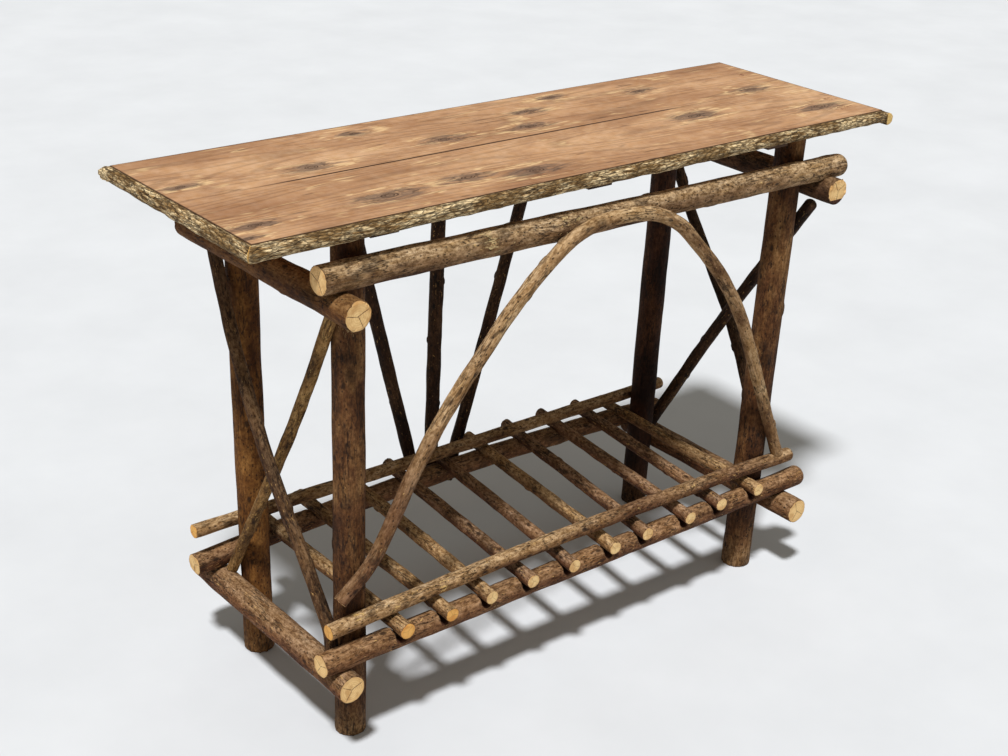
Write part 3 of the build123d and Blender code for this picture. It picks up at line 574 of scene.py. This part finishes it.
# The kinds of bark. A lower level scrapes or flaked shows more of it, and a lower mottled is more contrast
BARK_LOOKS = {
    "post_dark": dict(
        deep=rgb(18, 10, 6), dark=rgb(62, 36, 19), middle=rgb(94, 62, 36), light=rgb(128, 96, 62),
        top_light_and_dust=rgb(146, 122, 92), scrape=rgb(172, 142, 100), scrapes=0.74, top_light_and_dust_share=0.5, flaked=0.79),
    "post_orange": dict(
        deep=rgb(24, 12, 5), dark=rgb(72, 41, 16), middle=rgb(110, 72, 33), light=rgb(136, 96, 50),
        top_light_and_dust=rgb(146, 114, 76), scrape=rgb(168, 136, 88), scrapes=0.76, top_light_and_dust_share=0.4, mottled=0.55, flaked=0.79),
    # Painted shade: a darker copy of the post bark for the back right post, which stands in the shadow of the
    # top
    "post_black": dict(
        deep=rgb(12, 5, 3), dark=rgb(34, 17, 9), middle=rgb(58, 33, 19), light=rgb(86, 56, 34),
        top_light_and_dust=rgb(120, 94, 68), scrape=rgb(150, 120, 84), scrapes=0.79, top_light_and_dust_share=0.35, mottled=0.6, flaked=0.79),
    "rail_red": dict(
        deep=rgb(22, 11, 6), dark=rgb(74, 42, 24), middle=rgb(112, 74, 47), light=rgb(136, 102, 72),
        top_light_and_dust=rgb(164, 140, 112), scrape=rgb(176, 148, 108), scrapes=0.77, top_light_and_dust_share=0.7),
    "rail_orange": dict(
        deep=rgb(20, 10, 5), dark=rgb(66, 38, 17), middle=rgb(100, 66, 34), light=rgb(126, 92, 54),
        top_light_and_dust=rgb(150, 120, 82), scrape=rgb(168, 134, 86), scrapes=0.79, top_light_and_dust_share=0.6, mottled=0.7, flaked=0.78),
    # Painted shade: a darker copy of the rail bark for the right top end rail, which lies in the shadow of
    # the top
    "rail_dark": dict(
        deep=rgb(16, 8, 4), dark=rgb(42, 25, 15), middle=rgb(70, 46, 30), light=rgb(98, 72, 50),
        top_light_and_dust=rgb(146, 122, 94), scrape=rgb(150, 122, 84), scrapes=0.79, top_light_and_dust_share=0.55, mottled=0.6, flaked=0.78),
    "rail_grey": dict(
        deep=rgb(26, 15, 9), dark=rgb(84, 57, 37), middle=rgb(138, 110, 82), light=rgb(174, 148, 116),
        top_light_and_dust=rgb(198, 176, 144), scrape=rgb(216, 190, 138), scrapes=0.74, top_light_and_dust_share=0.75, mottled=0.5,
        flaked=0.745),
    "rail_brown": dict(
        deep=rgb(24, 13, 7), dark=rgb(76, 46, 28), middle=rgb(108, 73, 48), light=rgb(134, 100, 72),
        top_light_and_dust=rgb(168, 138, 106), scrape=rgb(206, 170, 116), scrapes=0.76, top_light_and_dust_share=0.7),
    "sapling": dict(
        deep=rgb(28, 15, 8), dark=rgb(84, 54, 33), middle=rgb(126, 92, 60), light=rgb(160, 126, 88),
        top_light_and_dust=rgb(194, 168, 130), scrape=rgb(230, 190, 116), scrapes=0.72, top_light_and_dust_share=0.7, mottled=0.56,
        flaked=0.735),
    "thin_rail": dict(
        deep=rgb(30, 16, 9), dark=rgb(92, 61, 38), middle=rgb(140, 108, 75), light=rgb(176, 145, 108),
        top_light_and_dust=rgb(198, 174, 140), scrape=rgb(232, 194, 122), scrapes=0.72, top_light_and_dust_share=0.7, mottled=0.54,
        flaked=0.735),
    "slat_red": dict(
        deep=rgb(26, 13, 8), dark=rgb(72, 40, 25), middle=rgb(108, 72, 48), light=rgb(140, 104, 76),
        top_light_and_dust=rgb(170, 144, 118), scrape=rgb(204, 166, 108), scrapes=0.77, top_light_and_dust_share=0.7),
    "arch": dict(
        deep=rgb(30, 17, 9), dark=rgb(98, 70, 45), middle=rgb(155, 126, 94), light=rgb(184, 158, 124),
        top_light_and_dust=rgb(200, 176, 142), scrape=rgb(214, 184, 130), scrapes=0.78, top_light_and_dust_share=0.65, mottled=0.66,
        flaked=0.74),
    "stick": dict(
        deep=rgb(20, 10, 6), dark=rgb(52, 31, 18), middle=rgb(80, 55, 35), light=rgb(108, 82, 56),
        top_light_and_dust=rgb(150, 126, 98), scrape=rgb(172, 140, 96), scrapes=0.77, top_light_and_dust_share=0.5),
    # Painted shade: a darker copy of the stick bark for the back sticks and the right braces, which lie in
    # the shadow of the top
    "stick_dark": dict(
        deep=rgb(14, 7, 4), dark=rgb(38, 22, 13), middle=rgb(60, 39, 24), light=rgb(84, 60, 40),
        top_light_and_dust=rgb(120, 98, 74), scrape=rgb(150, 122, 84), scrapes=0.79, top_light_and_dust_share=0.4),
    # Painted light: a lighter olive bark for the inner left brace, which stands for light that does not reach
    # it in the scene
    "brace_olive_painted_light": dict(
        deep=rgb(26, 15, 7), dark=rgb(92, 66, 38), middle=rgb(142, 110, 68), light=rgb(176, 144, 96),
        top_light_and_dust=rgb(184, 158, 112), scrape=rgb(216, 178, 104), scrapes=0.73, top_light_and_dust_share=0.6, mottled=0.5,
        flaked=0.71),
}
BARKS = {skin: bark(f"bark_{skin}", **look) for skin, look in BARK_LOOKS.items()}
TRIM_BARK = trim_bark("bark_trim", deep=rgb(34, 22, 12), dark=rgb(88, 62, 34), middle=rgb(152, 120, 76),
                      light=rgb(232, 208, 164), moss=rgb(116, 91, 55))
CUT_END = end_grain("cut_end_pale", pale=rgb(232, 196, 138), ring=rgb(206, 162, 98), stain=rgb(186, 138, 82),
                    rim=rgb(88, 60, 36), crack=rgb(82, 48, 22))
CUT_END_SMALL = end_grain("cut_end_small", pale=rgb(234, 202, 146), ring=rgb(212, 170, 106),
                          stain=rgb(190, 142, 86), rim=rgb(88, 60, 36), crack=rgb(82, 48, 22), cracked=0.4)
CUT_END_ORANGE = end_grain("cut_end_orange", pale=rgb(228, 176, 98), ring=rgb(204, 146, 70),
                           stain=rgb(190, 124, 56), rim=rgb(92, 60, 34), crack=rgb(92, 52, 22), cracked=0.4)
# Painted shade: the notch walls get a dark wood colour for the shade in the recesses, while the sawn ends
# stay pale
SHADED_NOTCH = cut_wood("notch_wood_painted_shade", dark=rgb(40, 20, 12), light=rgb(84, 50, 32))
MITRE = cut_wood("mitre_wood", dark=rgb(190, 150, 84), light=rgb(226, 196, 130))


# ---- Poles ----

def points_of(mesh):
    flat = np.empty(3 * len(mesh.vertices))
    mesh.vertices.foreach_get("co", flat)
    return flat.reshape(-1, 3)


def unit(vector):
    return vector / np.linalg.norm(vector)


def netted(node, size):
    """A new piece with a CAD node's shape as an even net of small faces."""
    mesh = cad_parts[node].data.copy()
    welded = bmesh.new()
    welded.from_mesh(mesh)
    bmesh.ops.remove_doubles(welded, verts=welded.verts, dist=WELD)
    welded.to_mesh(mesh)
    welded.free()
    piece = bpy.data.objects.new(f"{node}_wood", mesh)
    bpy.context.scene.collection.objects.link(piece)
    net = piece.modifiers.new("net", "REMESH")
    net.mode = "VOXEL"
    net.voxel_size = size
    made = bpy.data.meshes.new_from_object(piece.evaluated_get(bpy.context.evaluated_depsgraph_get()))
    piece.modifiers.clear()
    piece.data = made
    made.name = piece.name
    made.materials.clear()
    return piece


def circle_centre(flat):
    """The centre of the circle through points in a plane, leaving out those that lie off it."""
    kept = flat
    for _ in range(CIRCLE_TRIES):
        system = np.column_stack((kept, np.ones(len(kept))))
        solved = np.linalg.lstsq(system, (kept ** 2).sum(1), rcond=None)[0]
        centre = solved[:2] / 2
        away = np.linalg.norm(flat - centre, axis=1)
        close = abs(away - np.median(away)) < CIRCLE_SLACK
        if close.sum() < FEWEST_POINTS:
            break
        kept = flat[close]
    return centre


def middle_line(points, radius):
    """The middle line of a pole, walked slice by slice from one end to the other."""
    axis = int(np.argmax(np.ptp(points, axis=0)))
    first = points[points[:, axis].argmin()]
    around = points[np.linalg.norm(points - first, axis=1) < FIRST_LOOK]
    heading = np.linalg.svd(around - around.mean(0), full_matrices=False)[2][0]
    heading = heading * np.sign(heading[axis])
    here = around.mean(0) - heading * (around.mean(0) - first).dot(heading)
    line = []
    while True:
        here = here + heading * SLICE
        offsets = points - here
        along = offsets @ heading
        flat = offsets - np.outer(along, heading)
        slab = (abs(along) < SLICE / 2) & (np.linalg.norm(flat, axis=1) < TRACKED_WIDTH * radius)
        if slab.sum() < FEWEST_POINTS:
            break
        side = unit(np.cross(heading, SKEW))
        up = np.cross(heading, side)
        centre = circle_centre(np.column_stack((flat[slab] @ side, flat[slab] @ up)))
        if np.linalg.norm(centre) < radius:
            here = here + side * centre[0] + up * centre[1]
        line.append(here)
        if len(line) > LOOK_BACK:
            heading = unit(line[-1] - line[-1 - LOOK_BACK])
    line = np.array(line[1:-1])
    for _ in range(SMOOTHINGS):
        line[1:-1] = (line[:-2] + 2 * line[1:-1] + line[2:]) / 4
    return line


def swelling(shape, across, along, stretch, shift):
    """How far the lumps and ridges of the bark lift each point."""
    lump_scale = 1 / (shape["lump_size"] * MM)
    ridge_scale = 1 / (shape["ridge_size"] * MM)
    lump_stretch, ridge_stretch = stretch
    swell = np.empty(len(along))
    for index, ((x, y), z) in enumerate(zip(across, along)):
        lump = noise.noise((x * lump_scale, y * lump_scale, z * lump_scale * lump_stretch + shift))
        ridge = noise.noise((x * ridge_scale, y * ridge_scale, z * ridge_scale * ridge_stretch + shift))
        swell[index] = (shape["lump"] * lump + shape["ridge"] * ridge) * MM
    return swell


class Pole:
    """A pole's net of points with their places across and along its middle line."""

    def __init__(self, points, line):
        self.points = points
        runs = np.gradient(line, axis=0)
        runs = runs / np.linalg.norm(runs, axis=1)[:, None]
        sides = [unit(np.cross(runs[0], SKEW))]
        for run in runs[1:]:
            sides.append(unit(sides[-1] - run * run.dot(sides[-1])))
        count = len(points)
        self.centre = np.zeros((count, 3))
        self.facing = np.zeros((count, 3))
        self.across = np.zeros((count, 2))
        self.along = np.zeros(count)
        nearest = np.full(count, np.inf)
        reached = 0.0
        # Each point takes its place from the nearest stretch of the line, whose two ends run on straight
        for index in range(len(line) - 1):
            span = line[index + 1] - line[index]
            length = np.linalg.norm(span)
            low = -np.inf if index == 0 else 0
            high = np.inf if index == len(line) - 2 else 1
            share = np.clip((points - line[index]) @ span / length ** 2, low, high)
            centre = line[index] + np.outer(share, span)
            away = np.linalg.norm(points - centre, axis=1)
            nearer = away < nearest
            nearest[nearer] = away[nearer]
            mixed = np.clip(share, 0, 1)[:, None]
            side = sides[index] * (1 - mixed) + sides[index + 1] * mixed
            facing = runs[index] * (1 - mixed) + runs[index + 1] * mixed
            offset = points - centre
            across = np.column_stack(((offset * side).sum(1), (offset * np.cross(facing, side)).sum(1)))
            self.centre[nearer] = centre[nearer]
            self.facing[nearer] = facing[nearer]
            self.across[nearer] = across[nearer]
            self.along[nearer] = (reached + share * length)[nearer]
            reached += length
        self.away = nearest
        self.out = (points - self.centre) / np.maximum(nearest, MM)[:, None]
        surface = nearest > np.percentile(nearest, SURFACE_FROM)
        taper = np.polyfit(self.along[surface], nearest[surface], 1)
        self.radius = np.polyval(taper, self.along)
        self.rim = nearest / self.radius
        self.ends = ((self.along.min(), -1), (self.along.max(), 1))

    def turn(self, angle):
        """Turns the places across the pole, so that no two sawn ends crack alike."""
        turned = np.array(((np.cos(angle), -np.sin(angle)), (np.sin(angle), np.cos(angle))))
        self.across = self.across @ turned

    def sharpen_end(self, which, size):
        """Pushes the rounded rim that the net leaves at an end back out to a sharp edge."""
        end, sign = self.ends[which]
        depth = abs(self.along - end)
        inside = self.radius - self.away
        rounded = (depth < size) & (inside < size)
        flatten = rounded & (depth < inside)
        widen = rounded & (depth >= inside)
        self.points[flatten] += self.facing[flatten] * (sign * depth[flatten])[:, None]
        self.points[widen] += self.out[widen] * inside[widen][:, None]

    def round_end(self, which, share):
        """Wears an end down to a dome, with the bark grown over it."""
        end, sign = self.ends[which]
        reach = share * self.radius
        outward = reach - abs(self.along - end)
        sideways = reach - (self.radius - self.away)
        corner = (outward > 0) & (sideways > 0) & (np.hypot(outward, sideways) > reach)
        pull = (reach / np.hypot(outward, sideways) - 1)[corner]
        self.points[corner] += self.facing[corner] * (sign * outward[corner] * pull)[:, None]
        self.points[corner] += self.out[corner] * (sideways[corner] * pull)[:, None]

    def scattered_knots(self, shape, dice):
        """Branch knots at random places: each along the pole, round it, its height and its width."""
        height, width = shape["knot"]
        start = self.along.min()
        length = np.ptp(self.along)
        knots = []
        for _ in range(round(shape["knots"] * length)):
            place = start + dice.random() * length
            size = dice.uniform(*KNOT_WIDTHS)
            angle = dice.uniform(-pi, pi)
            tall = height * dice.uniform(*KNOT_HEIGHTS) * MM
            knots.append((place, angle, tall, width * size * MM))
        return knots

    def roughen(self, shape, dice, marks):
        """Adds lumps, ridges and branch knots to the bark, and leaves notches and sawn ends alone. Gives how
        knotted the bark is at each point."""
        knots = self.scattered_knots(shape, dice)
        turns = np.arctan2(self.across[:, 1], self.across[:, 0])
        for spot, tall, wide in marks:
            nearest = np.linalg.norm(self.points - np.array(spot), axis=1).argmin()
            knots.append((self.along[nearest], turns[nearest], tall * MM, wide * MM))
        swell = swelling(shape, self.across, self.along, POLE_STRETCH, dice.uniform(0, NOISE_SHIFT))
        knotted = np.zeros(len(self.points))
        for place, angle, tall, wide in knots:
            round_it = (turns - angle + pi) % (2 * pi) - pi
            reach = np.hypot((self.along - place) / KNOT_STRETCH, round_it * self.away) / wide
            dimple = DIMPLE_DEPTH * tall * np.exp(-(reach * DIMPLE_TIGHTER) ** 2)
            swell += tall * np.exp(-reach ** 4) - dimple
            ring = RING_STRENGTH * np.exp(-((reach - 1) / RING_WIDTH) ** 2)
            knotted = np.maximum(knotted, np.exp(-(reach * HEART_TIGHTER) ** 2) + ring)
        free = np.clip((self.rim - BARK_FROM) / (BARK_FULL - BARK_FROM), 0, 1)
        start = self.along.min()
        to_end = np.minimum(self.along - start, start + np.ptp(self.along) - self.along)
        free *= EVEN_END + (1 - EVEN_END) * np.clip(to_end / EVEN_FOR, 0, 1)
        self.points += self.out * (swell * free)[:, None]
        return knotted


def write_points(mesh, points):
    """Gives a mesh its points, kept inside the CAD box."""
    low, high = (np.array(corner) for corner in cad_box)
    mesh.vertices.foreach_set("co", np.clip(points, low, high).ravel())
    mesh.update()


def near_spots(points, spots):
    """1 at each of the spots (spot, mm wide), falling smoothly to 0 around it."""
    share = np.zeros(len(points))
    for spot, wide in spots:
        away = np.linalg.norm(points - np.array(spot), axis=1) / (wide * MM)
        share = np.maximum(share, np.exp(-away ** 2))
    return share


def write_attributes(mesh, across, along, dice, **shares):
    """What the shaders draw by: places across and along the pole, upward facing and other shares."""
    shifted = along + dice.uniform(0, SEED_SHIFT)
    grain = mesh.attributes.new("grain", "FLOAT_VECTOR", "POINT")
    grain.data.foreach_set("vector", np.column_stack((across, shifted)).ravel())
    normals = np.empty(3 * len(mesh.vertices))
    mesh.vertices.foreach_get("normal", normals)
    up = np.maximum(normals[2::3], np.exp(-(points_of(mesh)[:, 2] / FOOT_DUST) ** 2))
    for name, values in (("up", up), *shares.items()):
        mesh.attributes.new(name, "FLOAT", "POINT").data.foreach_set("value", values)


def face_data(mesh):
    """Each face's normal and its first corner."""
    count = len(mesh.polygons)
    normals = np.empty(3 * count)
    mesh.polygons.foreach_get("normal", normals)
    first = np.empty(count, int)
    mesh.polygons.foreach_get("loop_start", first)
    corners = np.empty(len(mesh.loops), int)
    mesh.loops.foreach_get("vertex_index", corners)
    return normals.reshape(-1, 3), corners[first]


def stand_for(piece, node):
    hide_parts(node)
    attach(piece, "root")


# A pole's two ends, in the order of Pole.ends
START, END = 0, 1

# Knots that stand out (spot, mm tall, mm wide)
KNOTS = {
    "top_front_rail": (((-0.413, -0.187, 0.762), 1.4, 6), ((-0.428, -0.193, 0.755), 1.4, 8),
                       ((-0.205, -0.193, 0.762), 1.8, 8), ((0.05, -0.2, 0.765), 1.8, 8)),
    "front_arch": (((-0.111, -0.2, 0.733), 1.6, 5), ((-0.143, -0.2, 0.709), 1.6, 6),
                   ((-0.051, -0.218, 0.75), 1.2, 5), ((-0.406, -0.177, 0.309), 3.2, 5),
                   ((-0.423, -0.177, 0.286), 2.8, 5)),
    "post_front_left": (((-0.434, -0.154, 0.615), 1.4, 6), ((-0.431, -0.155, 0.591), 1.4, 6),
                        ((-0.434, -0.151, 0.394), 1.5, 6)),
    "post_front_right": (((0.407, -0.158, 0.414), 2.6, 8), ((0.400, -0.158, 0.432), 2.0, 6),
                         ((0.412, -0.158, 0.398), 2.2, 7), ((0.434, -0.159, 0.49), 2.2, 8)),
    "top_end_rail_left": (((-0.484, -0.141, 0.709), 2.0, 8), ((-0.484, -0.128, 0.705), 1.6, 7)),
    "thin_front_rail": (((-0.407, -0.174, 0.22), 1.6, 5),),
}

# Scraped and reddened places (spot, mm wide)
SCRAPES = {
    "top_front_rail": (((-0.228, -0.193, 0.754), 34), ((-0.08, -0.195, 0.757), 30)),
    "thin_front_rail": (((-0.421, -0.168, 0.222), 14), ((-0.368, -0.178, 0.214), 13),
                        ((-0.273, -0.176, 0.222), 20)),
    "post_front_left": (((-0.434, -0.152, 0.655), 22),),
}
REDDENED = {
    "front_arch": (((-0.435, -0.177, 0.275), 110), ((-0.38, -0.18, 0.38), 100)),
    "thin_front_rail": (((0.12, -0.177, 0.21), 130), ((0.35, -0.178, 0.2), 120)),
}


def pole(node, kind, skin, sawn=CUT_END, grown=()):
    """A bark-on pole in place of its CAD node. grown are the ends that are worn round instead of sawn."""
    dice = random.Random(node)
    size = min(max(POLE_RADII[kind] * NET_SHARE, NET_SMALLEST), NET_LARGEST)
    piece = netted(node, size)
    mesh = piece.data
    points = points_of(mesh)
    shape = Pole(points, middle_line(points, POLE_RADII[kind]))
    shape.turn(dice.uniform(-pi, pi))
    normals, corner = face_data(mesh)
    facing = abs((normals * shape.facing[corner]).sum(1))
    is_end = np.zeros(len(corner), bool)
    at_end = np.zeros(len(corner), bool)
    for which, (end, _) in enumerate(shape.ends):
        near = (facing > END_FACING) & (abs(shape.along[corner] - end) < END_DEPTH)
        at_end |= near
        if which in grown:
            shape.round_end(which, WORN_END)
        else:
            is_end |= near
            shape.sharpen_end(which, size)
    is_cut = ~at_end & (shape.rim[corner] < CUT_BELOW)
    worn = near_spots(points, SCRAPES.get(node, ()))
    warm = near_spots(points, REDDENED.get(node, ()))
    knotted = shape.roughen(SHAPES[kind], dice, KNOTS.get(node, ()))
    write_points(mesh, shape.points)
    write_attributes(mesh, shape.across, shape.along, dice, rim=shape.rim, worn=worn, warm=warm,
                     knotted=knotted)
    for material in (BARKS[skin], sawn, SHADED_NOTCH):
        mesh.materials.append(material)
    mesh.polygons.foreach_set("material_index", is_end + 2 * is_cut)
    mesh.polygons.foreach_set("use_smooth", ~is_end)
    stand_for(piece, node)


POSTS = {"front_left": "post_dark", "front_right": "post_dark", "back_left": "post_orange",
         "back_right": "post_black"}
for place, skin in POSTS.items():
    pole(f"post_{place}", "post", skin)
for side, skin in (("left", "rail_orange"), ("right", "rail_dark")):
    pole(f"top_end_rail_{side}", "rail", skin)
    pole(f"lower_end_rail_{side}", "rail", "rail_red")
for row, grown in (("front", (END,)), ("back", ())):
    pole(f"top_{row}_rail", "rail", "rail_grey", grown=(END,))
    pole(f"lower_{row}_rail", "rail", "rail_brown", grown=grown)
    pole(f"thin_{row}_rail", "sapling", "thin_rail", CUT_END_ORANGE, (END,))

SLAT_COUNT = 10
RED_SLATS = (4, 5, 7, 8, 9)
ORANGE_ENDED_SLATS = (1, 2)
for index in range(1, SLAT_COUNT + 1):
    skin = "slat_red" if index in RED_SLATS else "sapling"
    sawn = CUT_END_ORANGE if index in ORANGE_ENDED_SLATS else CUT_END_SMALL
    pole(f"slat_{index:02d}", "sapling", skin, sawn)

pole("front_arch", "sapling", "arch")
for place in ("left", "centre", "right"):
    pole(f"back_stick_{place}", "stick", "stick_dark")
for place, skin in (("outer", "stick"), ("inner", "brace_olive_painted_light")):
    pole(f"brace_left_{place}", "stick", skin, grown=(START, END))
    pole(f"brace_right_{place}", "stick", "stick_dark", grown=(START, END))


# ---- Trims ----

def trim(side):
    """A half-round strip of bark along one edge of the boards."""
    dice = random.Random(side)
    node = f"trim_{side}"
    low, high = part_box(node)
    piece = netted(node, TRIM_NET)
    mesh = piece.data
    points = points_of(mesh)
    run = 0 if side in ("front", "back") else 1
    cross = 1 - run
    outward = -1 if side in ("front", "left") else 1
    inner = high[cross] if outward < 0 else low[cross]
    across = np.column_stack(((points[:, cross] - inner) * outward, points[:, 2] - (low.z + high.z) / 2))
    along = points[:, run]
    away = np.maximum(np.linalg.norm(across, axis=1), MM)
    out = np.zeros((len(points), 3))
    out[:, cross] = across[:, 0] / away * outward
    out[:, 2] = across[:, 1] / away
    swell = swelling(SHAPES["trim"], across, along, TRIM_STRETCH, dice.uniform(0, NOISE_SHIFT))
    points += out * (swell * np.clip(across[:, 0] / TRIM_FLAT, 0, 1))[:, None]
    normals, _ = face_data(mesh)
    is_cut = abs(normals[:, run]) > TRIM_END_FACING
    write_points(mesh, points)
    write_attributes(mesh, across, along, dice)
    mesh.materials.append(TRIM_BARK)
    mesh.materials.append(MITRE)
    mesh.polygons.foreach_set("material_index", is_cut.astype(int))
    mesh.polygons.foreach_set("use_smooth", np.ones(len(mesh.polygons), bool))
    stand_for(piece, node)


for side in ("front", "back", "left", "right"):
    trim(side)

# ---- Boards, battens and nails, which keep their CAD meshes ----

PINE_TOP = pine("pine_top", TOP_KNOTS, TOP_SCUFFS, deep=rgb(64, 42, 29), dark=rgb(158, 118, 88),
                middle=rgb(189, 149, 115), light=rgb(204, 166, 131), flare=rgb(236, 202, 150),
                smudge=rgb(104, 86, 74), red=rgb(104, 46, 30), seam=True)
# Painted shade: the battens get dark wood colours for the shade under the top
SHADED_PINE_BATTEN = pine("pine_batten_painted_shade", (), (), deep=rgb(40, 26, 17), dark=rgb(62, 42, 27),
                   middle=rgb(82, 58, 38), light=rgb(100, 74, 50), flare=rgb(116, 88, 60),
                   smudge=rgb(52, 42, 34), red=rgb(60, 34, 22))
IRON = rusty_iron("nail_iron")
for name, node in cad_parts.items():
    finish = IRON if name.endswith("nails") else SHADED_PINE_BATTEN if name.startswith("batten") else PINE_TOP
    node.data.materials.clear()
    node.data.materials.append(finish)

# ---- Camera, floor and lights ----

camera = bpy.data.objects.new("camera", bpy.data.cameras.new("camera"))
camera.data.lens = CAMERA_LENS
aim = Matrix.Rotation(CAMERA_HEADING, 4, "Z") @ Matrix.Rotation(pi / 2 - CAMERA_DIP, 4, "X")
camera.matrix_world = Matrix.Translation(CAMERA_PLACE) @ aim @ Matrix.Rotation(CAMERA_ROLL, 4, "Z")
bpy.context.scene.collection.objects.link(camera)
bpy.context.scene.camera = camera

half = FLOOR_SIZE / 2
corners = [(-half, -half, 0), (half, -half, 0), (half, half, 0), (-half, half, 0)]
floor_mesh = bpy.data.meshes.new("floor")
floor_mesh.from_pydata(corners, [], [(0, 1, 2, 3)])
floor_mesh.materials.append(pale_floor("floor_pale"))
floor = bpy.data.objects.new("floor", floor_mesh)
bpy.context.scene.collection.objects.link(floor)


def lamp(name, place, spread, power):
    """A distant lamp with soft-edged shadows, which shines from a place towards the table."""
    light = bpy.data.lights.new(name, "SUN")
    light.angle = spread
    light.energy = power
    holder = bpy.data.objects.new(name, light)
    holder.location = place
    holder.rotation_euler = Vector(place).to_track_quat("Z", "Y").to_euler()
    bpy.context.scene.collection.objects.link(holder)


lamp("key", KEY_FROM, KEY_SPREAD, KEY_POWER)
lamp("fill", FILL_FROM, FILL_SPREAD, FILL_POWER)
world = bpy.data.worlds.new("sky")
world.use_nodes = True
background = world.node_tree.nodes["Background"]
background.inputs["Color"].default_value = SKY_COLOUR
background.inputs["Strength"].default_value = SKY_STRENGTH
bpy.context.scene.world = world
bpy.context.scene.view_settings.view_transform = "Standard"
